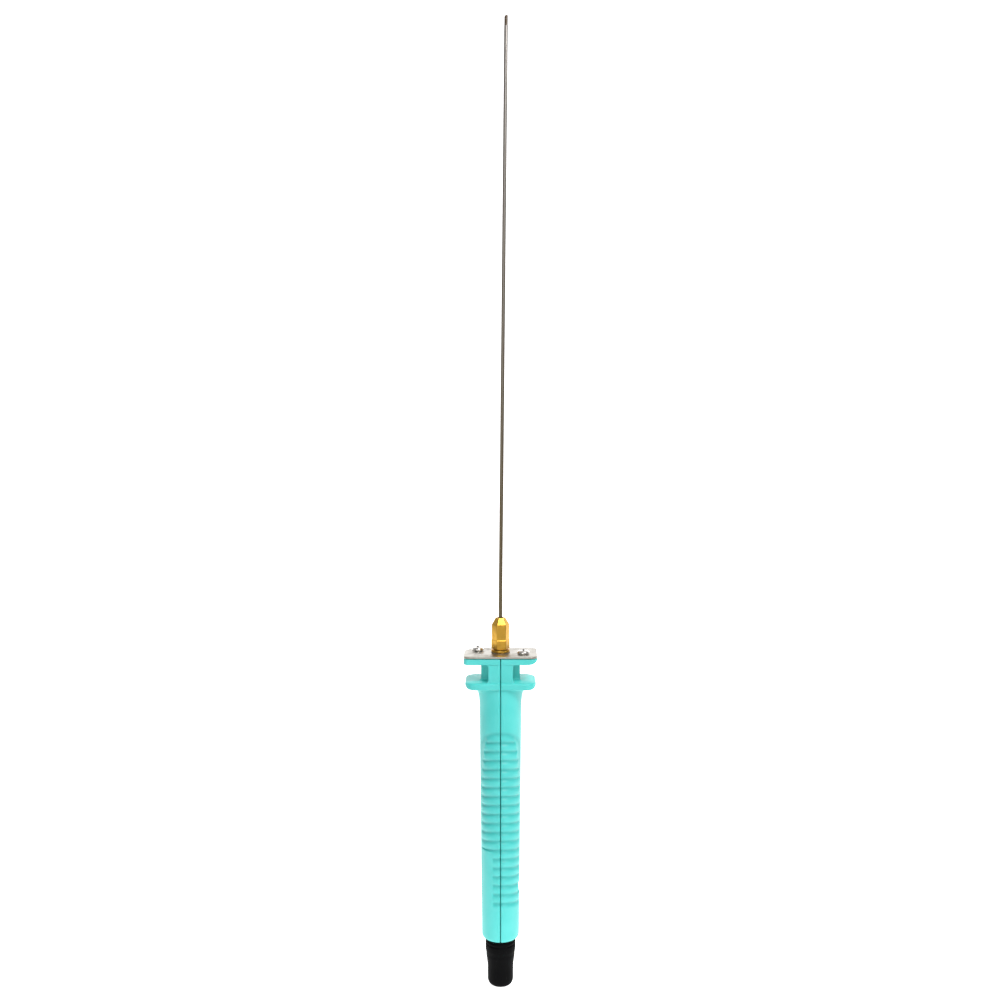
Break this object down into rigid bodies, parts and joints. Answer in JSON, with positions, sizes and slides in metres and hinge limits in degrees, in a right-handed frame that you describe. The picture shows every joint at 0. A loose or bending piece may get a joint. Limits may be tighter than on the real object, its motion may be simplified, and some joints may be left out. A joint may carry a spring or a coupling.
{
  "type": "hot-wire foam cutting pen",
  "caption": "Slim pen-shaped hot tool: ribbed two-half plastic handle with a necked head and steel plate, a brass collet that grips a long heated needle, and a power inlet in a rubber boot.",
  "frame": {"origin": "middle of the boot's end face, the lowest point, with the pen upright and its needle up", "axes": "+Z along the pen towards the needle's tip, -Y the ribbed grip front with the seam, +X towards the half that holds the handle screw's head"},
  "size_m": [0.031, 0.02, 0.411],
  "materials": {
    "handle_plastic": "fine satin texture, teal, lightly glossy on worn edges",
    "plate_steel": "rolled sheet steel, fine grain, soft stains near the edges",
    "screw_steel": "zinc-plated steel, cross recess",
    "collet_brass": "machined brass, fine turning marks",
    "needle_steel": "drawn steel tube, straw-coloured by heat towards the collet",
    "browned_steel": "steel browned by heat",
    "contact_steel": "nickel-plated spring steel",
    "boot_rubber": "satin black rubber",
    "jack_plastic": "black moulded plastic",
    "insulation": "cream heat-resistant insulation",
    "copper": "bare copper, slightly dull",
    "live_insulation": "red wire insulation",
    "return_insulation": "black wire insulation"
  },
  "bodies": {
    "handle": {"left_handle_shell": "handle_plastic", "right_handle_shell": "handle_plastic", "handle_screw": "screw_steel", "face_plate": "plate_steel", "plate_screw_rear_left": "screw_steel", "plate_screw_front_right": "screw_steel", "collet_body": "collet_brass", "insulating_bush": "insulation", "solder_tag": "copper", "collet_locknut": "collet_brass", "contact_socket": "collet_brass", "contact_holder": "insulation", "inlet_boot": "boot_rubber", "power_jack_body": "jack_plastic", "jack_sleeve_contact": "contact_steel", "jack_centre_pin": "collet_brass", "live_lead": "live_insulation", "return_lead": "return_insulation"},
    "jaws": {"collet_jaws": "collet_brass"},
    "nut": {"collet_nut": "collet_brass"},
    "needle": {"needle_tube": "needle_steel", "needle_core": "copper", "needle_insulator": "insulation", "needle_contact_pin": "collet_brass", "needle_tip": "browned_steel"}
  },
  "joints": [
    {"name": "jaw_travel", "type": "slide", "parent": "handle", "child": "jaws", "axis": [0, 0, 1], "range_m": [0, 0.003]},
    {"name": "nut_turn", "type": "hinge", "parent": "jaws", "child": "nut", "pos_m": [0, 0, 0.154], "axis": [0, 0, 1], "range_deg": [0, 1440]},
    {"name": "needle_draw", "type": "slide", "parent": "handle", "child": "needle", "axis": [0, 0, 1], "range_m": [0, 0.045]}
  ],
  "couplings": [
    {"joint": "nut_turn", "follows": "jaw_travel", "rad_per_m": 8377.5}
  ]
}
